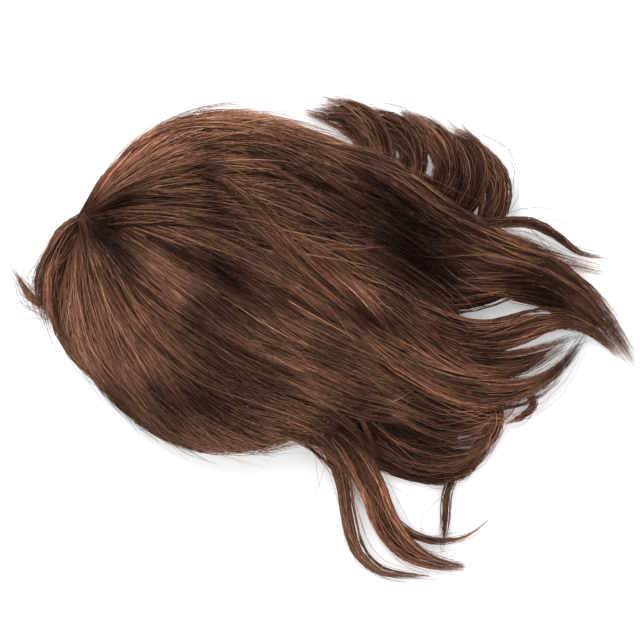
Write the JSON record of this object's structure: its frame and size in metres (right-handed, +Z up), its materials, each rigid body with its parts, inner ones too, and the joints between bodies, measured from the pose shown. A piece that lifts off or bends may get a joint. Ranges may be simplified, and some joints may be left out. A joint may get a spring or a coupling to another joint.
{
  "type": "cosplay wig",
  "caption": "Long brown wig lying on its side: stretch cap under combed hair from a whorl, side-swept fringe, flipped fan of locks and loose curved tips.",
  "frame": {"origin": "on the floor, under the middle of the bounding box", "axes": "+X from the crown end to the hair's tips, the face side is -Y, +Z up; the wig lies on its side"},
  "size_m": [0.496, 0.3902, 0.0902],
  "materials": {
    "hair": "satin",
    "cap_net": "matt"
  },
  "bodies": {
    "root": {"cap": "cap_net", "crown_hair": "hair", "front_hair": "hair", "fringe": "hair", "nape_hair": "hair", "back_hair": "hair", "under_hair": "hair"}
  },
  "joints": []
}
